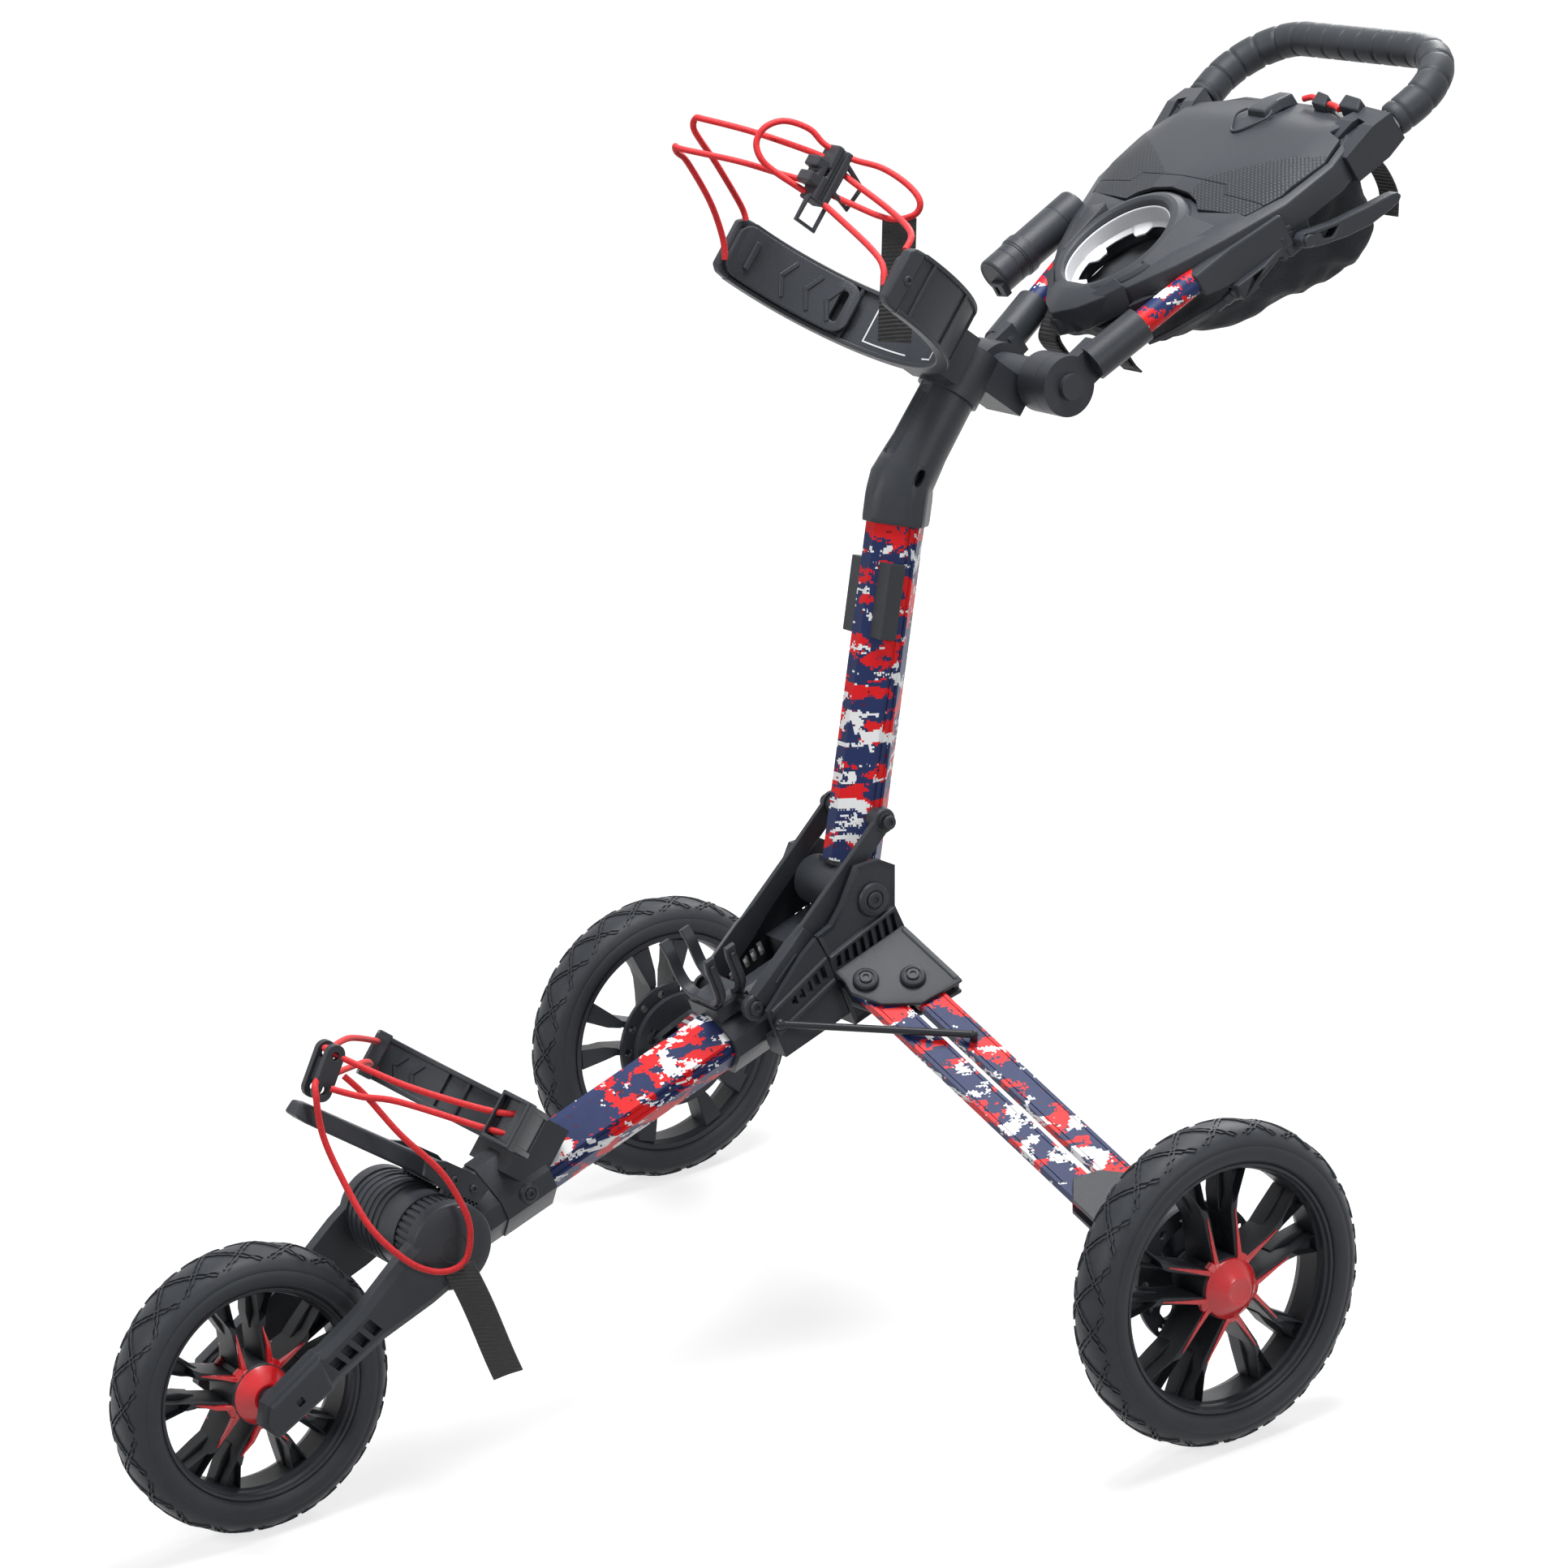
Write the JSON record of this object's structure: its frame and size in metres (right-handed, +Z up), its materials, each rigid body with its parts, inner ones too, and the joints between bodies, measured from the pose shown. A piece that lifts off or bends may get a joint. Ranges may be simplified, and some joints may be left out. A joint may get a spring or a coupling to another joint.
{
  "type": "golf push trolley",
  "caption": "Three-wheel folding golf push trolley with spoked foam-tyre wheels, swing-out legs, bag cradles with elastic cords, and a handle console with cup hole, tray and bag.",
  "frame": {"origin": "on the ground, under the middle of the bounding box", "axes": "+Z up, -Y toward the front wheel, +X toward the left rear wheel, which is the nearer one in the picture"},
  "size_m": [0.9, 1.3552, 1.0413],
  "materials": {
    "camo_paint": "red, white and navy camouflage print on aluminium",
    "black_plastic": "fine grained black moulding",
    "foam_tyre": "charcoal foam with ribbed tread",
    "red_plastic": "glossy red",
    "steel": "plain steel",
    "black_steel": "black coated steel rod",
    "red_elastic": "braided red elastic cord",
    "black_fabric": "black woven nylon",
    "soft_rubber": "matte black soft rubber",
    "cable": "black cable sheath"
  },
  "bodies": {
    "frame": {"front_tube": "camo_paint", "hub_plate_left": "black_plastic", "hub_plate_right": "black_plastic", "hub_core": "black_plastic", "frame_pins": "steel", "frame_screws": "steel", "drum_housing": "black_plastic", "lower_cradle": "black_plastic", "bag_ledge": "black_plastic", "lower_cord": "red_elastic", "lower_hook": "black_plastic", "lower_pull_tab": "black_fabric"},
    "collar": {"collar": "black_plastic", "fold_clip": "black_plastic"},
    "links": {"fold_links": "black_plastic"},
    "mast": {"mast_tube": "camo_paint", "mast_foot": "black_plastic", "elbow_sleeve": "black_plastic", "head_collar": "black_plastic", "upper_cradle": "black_plastic", "cradle_pads": "soft_rubber", "mast_clips": "black_plastic", "upper_cord": "red_elastic", "upper_hook": "black_plastic", "upper_pull_tab": "black_fabric"},
    "left_front_bar": {"leg_front_bar_left": "camo_paint"},
    "right_front_bar": {"leg_front_bar_right": "camo_paint"},
    "left_rear_bar": {"leg_rear_bar_left": "camo_paint"},
    "right_rear_bar": {"leg_rear_bar_right": "camo_paint"},
    "left_carrier": {"wheel_carrier_left": "black_plastic", "axle_left": "steel"},
    "right_carrier": {"wheel_carrier_right": "black_plastic", "axle_right": "steel"},
    "left_rod": {"spread_rod_left": "black_steel"},
    "right_rod": {"spread_rod_right": "black_steel"},
    "left_release": {"release_button_left": "red_plastic"},
    "right_release": {"release_button_right": "red_plastic"},
    "left_brake_shoe": {"brake_shoe_left": "black_plastic"},
    "right_brake_shoe": {"brake_shoe_right": "black_plastic"},
    "left_wheel": {"tyre_left": "foam_tyre", "rim_left": "black_plastic", "hub_cap_left": "red_plastic"},
    "right_wheel": {"tyre_right": "foam_tyre", "rim_right": "black_plastic", "hub_cap_right": "red_plastic"},
    "fork": {"fork_arms": "black_plastic", "axle_front": "steel"},
    "front_wheel": {"tyre_front": "foam_tyre", "rim_front": "black_plastic", "hub_cap_front": "red_plastic"},
    "dial": {"tracking_dial": "black_plastic"},
    "handle": {"handle_tube": "camo_paint", "grip": "soft_rubber", "yoke_arms": "black_plastic", "console": "black_plastic", "brake_cable": "cable", "cargo_bag": "black_fabric", "umbrella_holder": "black_fabric"},
    "lid": {"console_lid": "black_plastic"},
    "lever": {"brake_lever": "black_plastic"}
  },
  "joints": [
    {"name": "mast_fold", "type": "hinge", "parent": "frame", "child": "mast", "pos_m": [0, 0.04144, 0.389], "axis": [1, 0, 0], "range_deg": [0, 103]},
    {"name": "collar_slide", "type": "slide", "parent": "frame", "child": "collar", "axis": [0, -0.9532, -0.3024], "range_m": [0, 0.10829]},
    {"name": "link_swing", "type": "hinge", "parent": "mast", "child": "links", "pos_m": [0, 0.06744, 0.44933], "axis": [-1, 0, 0], "range_deg": [0, 109.05]},
    {"name": "left_front_bar_swing", "type": "hinge", "parent": "frame", "child": "left_front_bar", "pos_m": [0.06686, 0.01677, 0.32179], "axis": [-0.515, 0.2592, -0.817], "range_deg": [0, 67.92]},
    {"name": "left_rear_bar_swing", "type": "hinge", "parent": "frame", "child": "left_rear_bar", "pos_m": [0.08657, 0.05085, 0.32017], "axis": [-0.515, 0.2592, -0.817], "range_deg": [0, 67.92]},
    {"name": "left_carrier_swing", "type": "hinge", "parent": "left_front_bar", "child": "left_carrier", "pos_m": [0.30258, 0.0596, 0.18678], "axis": [0.515, -0.2592, 0.817], "range_deg": [0, 67.92]},
    {"name": "left_rod_swing", "type": "hinge", "parent": "collar", "child": "left_rod", "pos_m": [0.05606, -0.06381, 0.30793], "axis": [0.4861, -0.308, 0.8178], "range_deg": [0, 22.39]},
    {"name": "left_wheel_spin", "type": "hinge", "parent": "left_carrier", "child": "left_wheel", "pos_m": [0.42, 0.09544, 0.135], "axis": [1, 0, 0], "continuous": true},
    {"name": "left_release_press", "type": "slide", "parent": "left_carrier", "child": "left_release", "axis": [1, 0, 0], "range_m": [0, 0.003], "stiffness_N_per_m": 400, "springref_m": -0.003},
    {"name": "left_brake_shoe_slide", "type": "slide", "parent": "left_carrier", "child": "left_brake_shoe", "axis": [1, 0, 0], "range_m": [0, 0.0045]},
    {"name": "right_front_bar_swing", "type": "hinge", "parent": "frame", "child": "right_front_bar", "pos_m": [-0.06686, 0.01677, 0.32179], "axis": [-0.515, -0.2592, 0.817], "range_deg": [0, 67.92]},
    {"name": "right_rear_bar_swing", "type": "hinge", "parent": "frame", "child": "right_rear_bar", "pos_m": [-0.08657, 0.05085, 0.32017], "axis": [-0.515, -0.2592, 0.817], "range_deg": [0, 67.92]},
    {"name": "right_carrier_swing", "type": "hinge", "parent": "right_front_bar", "child": "right_carrier", "pos_m": [-0.30258, 0.0596, 0.18678], "axis": [0.515, 0.2592, -0.817], "range_deg": [0, 67.92]},
    {"name": "right_rod_swing", "type": "hinge", "parent": "collar", "child": "right_rod", "pos_m": [-0.05606, -0.06381, 0.30793], "axis": [0.4861, 0.308, -0.8178], "range_deg": [0, 22.39]},
    {"name": "right_wheel_spin", "type": "hinge", "parent": "right_carrier", "child": "right_wheel", "pos_m": [-0.42, 0.09544, 0.135], "axis": [1, 0, 0], "continuous": true},
    {"name": "right_release_press", "type": "slide", "parent": "right_carrier", "child": "right_release", "axis": [-1, 0, 0], "range_m": [0, 0.003], "stiffness_N_per_m": 400, "springref_m": -0.003},
    {"name": "right_brake_shoe_slide", "type": "slide", "parent": "right_carrier", "child": "right_brake_shoe", "axis": [-1, 0, 0], "range_m": [0, 0.0045]},
    {"name": "fork_fold", "type": "hinge", "parent": "frame", "child": "fork", "pos_m": [0, -0.39454, 0.20953], "axis": [1, 0, 0], "range_deg": [0, 100]},
    {"name": "front_wheel_spin", "type": "hinge", "parent": "fork", "child": "front_wheel", "pos_m": [0, -0.55756, 0.12], "axis": [1, 0, 0], "continuous": true},
    {"name": "dial_turn", "type": "hinge", "parent": "frame", "child": "dial", "pos_m": [0, -0.39454, 0.20953], "axis": [1, 0, 0], "range_deg": [-20, 20]},
    {"name": "handle_fold", "type": "hinge", "parent": "mast", "child": "handle", "pos_m": [0, 0.27291, 0.7856], "axis": [-1, 0, 0], "range_deg": [0, 120]},
    {"name": "lid_open", "type": "hinge", "parent": "handle", "child": "lid", "pos_m": [0, 0.44174, 0.90531], "axis": [1, 0, 0], "range_deg": [0, 105]},
    {"name": "brake_lever_squeeze", "type": "hinge", "parent": "handle", "child": "lever", "pos_m": [0, 0.47637, 0.88098], "axis": [1, 0, 0], "range_deg": [0, 12], "stiffness_Nm_per_rad": 0.8, "springref_deg": -11.46}
  ],
  "couplings": [
    {"joint": "collar_slide", "follows": "mast_fold", "m_per_rad": 0.060229},
    {"joint": "link_swing", "follows": "mast_fold", "ratio": 1.0585},
    {"joint": "left_front_bar_swing", "follows": "mast_fold", "ratio": 0.65926},
    {"joint": "left_rear_bar_swing", "follows": "mast_fold", "ratio": 0.65926},
    {"joint": "left_carrier_swing", "follows": "mast_fold", "ratio": 0.65926},
    {"joint": "left_rod_swing", "follows": "mast_fold", "ratio": 0.21731},
    {"joint": "right_front_bar_swing", "follows": "mast_fold", "ratio": 0.65926},
    {"joint": "right_rear_bar_swing", "follows": "mast_fold", "ratio": 0.65926},
    {"joint": "right_carrier_swing", "follows": "mast_fold", "ratio": 0.65926},
    {"joint": "right_rod_swing", "follows": "mast_fold", "ratio": 0.21731},
    {"joint": "left_brake_shoe_slide", "follows": "brake_lever_squeeze", "m_per_rad": 0.021486},
    {"joint": "right_brake_shoe_slide", "follows": "brake_lever_squeeze", "m_per_rad": 0.021486}
  ]
}
